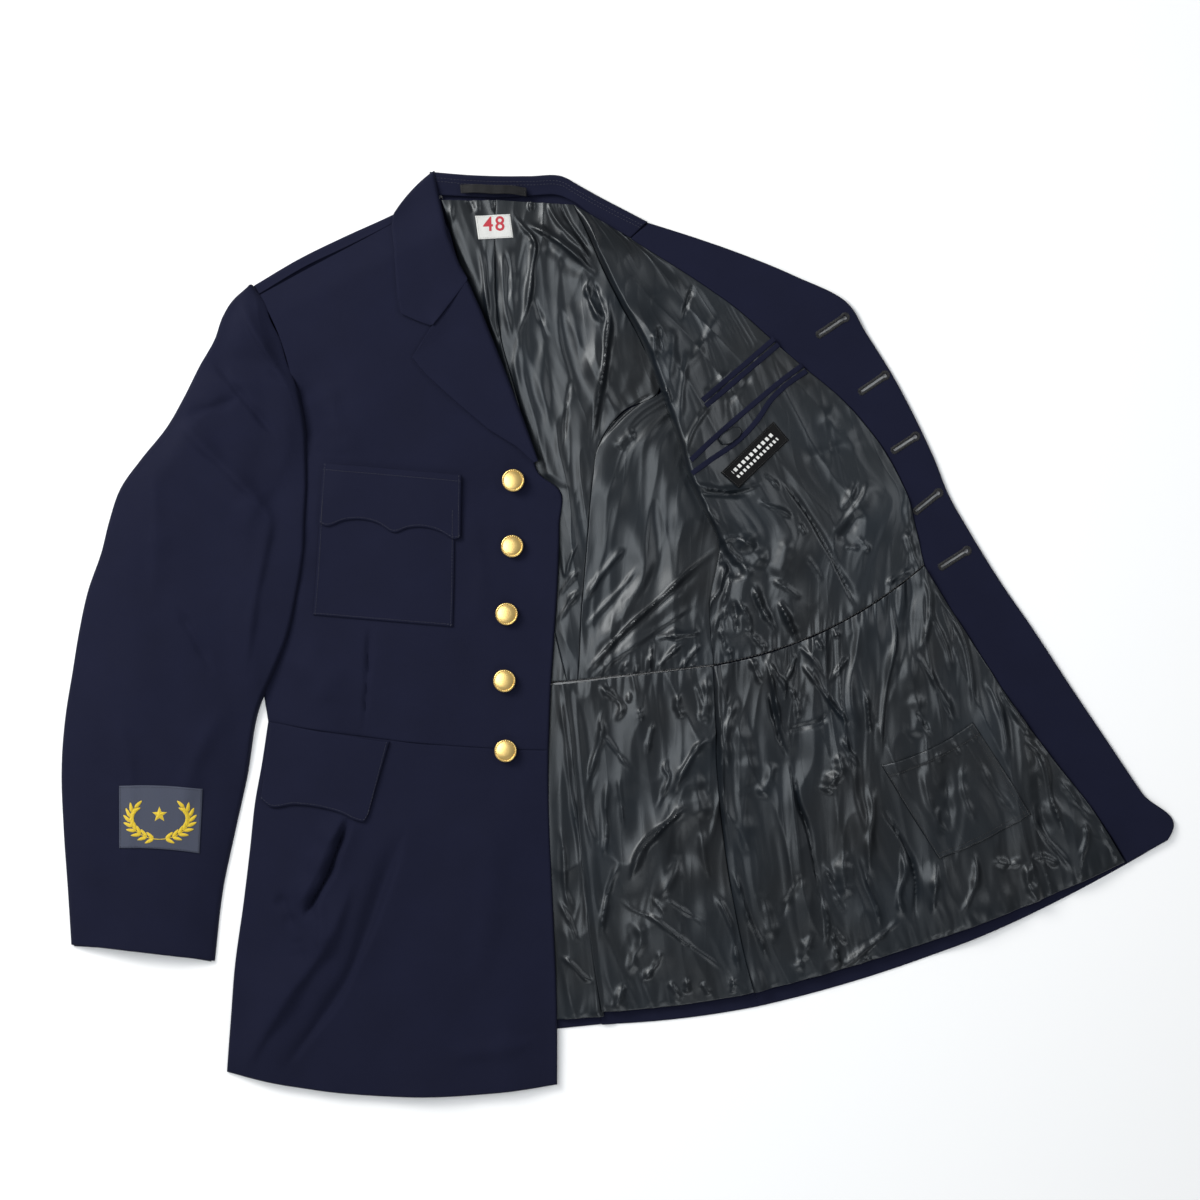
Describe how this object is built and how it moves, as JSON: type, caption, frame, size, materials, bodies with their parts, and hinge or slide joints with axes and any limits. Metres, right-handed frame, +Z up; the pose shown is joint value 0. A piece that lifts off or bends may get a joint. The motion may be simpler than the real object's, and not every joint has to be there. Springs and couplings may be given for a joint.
{
  "type": "dress uniform jacket",
  "caption": "Navy wool single-breasted dress jacket lying open: patch pocket, flaps, lapels, brass dome buttons, black satin lining.",
  "frame": {"origin": "on the surface that the jacket lies on, under the middle of its overall box", "axes": "+Z up from the surface, +Y towards the collar, +X towards the thrown-open left front"},
  "size_m": [1.0196, 0.8496, 0.0212],
  "materials": {
    "navy_wool": "fine twill wool, matt",
    "satin_lining": "black satin with a soft sheen",
    "brass": "polished, pebbled centre",
    "black_tape": "woven tape",
    "white_label": "woven label",
    "badge_cloth": "felted cloth with yellow embroidery"
  },
  "bodies": {
    "root": {"back_left": "navy_wool", "back_right": "navy_wool", "back_shoulder_right": "navy_wool", "back_skirt_left": "navy_wool", "back_skirt_right": "navy_wool", "button_1": "brass", "button_2": "brass", "button_3": "brass", "button_4": "brass", "button_5": "brass", "care_label": "black_tape", "chest_flap": "navy_wool", "chest_pocket": "navy_wool", "collar_leaf": "navy_wool", "collar_leaf_under": "navy_wool", "collar_stand": "navy_wool", "facing_left": "navy_wool", "front_left": "navy_wool", "front_right": "navy_wool", "front_skirt_left": "navy_wool", "front_skirt_right": "navy_wool", "hanger_loop": "black_tape", "hip_flap": "navy_wool", "inner_patch_pocket": "satin_lining", "jet_chest_lower": "navy_wool", "jet_chest_upper": "navy_wool", "jet_main_lower": "navy_wool", "jet_main_upper": "navy_wool", "lapel_left_under": "navy_wool", "lapel_right": "navy_wool", "lining_back_left": "satin_lining", "lining_back_right": "satin_lining", "lining_front_left": "satin_lining", "lining_side_left": "satin_lining", "lining_skirt_back_left": "satin_lining", "lining_skirt_back_right": "satin_lining", "lining_skirt_front_left": "satin_lining", "pocket_tab": "navy_wool", "size_label": "white_label", "sleeve_badge": "badge_cloth", "top_sleeve_left": "navy_wool", "top_sleeve_right": "navy_wool", "under_sleeve_left": "navy_wool", "under_sleeve_right": "navy_wool"}
  },
  "joints": []
}
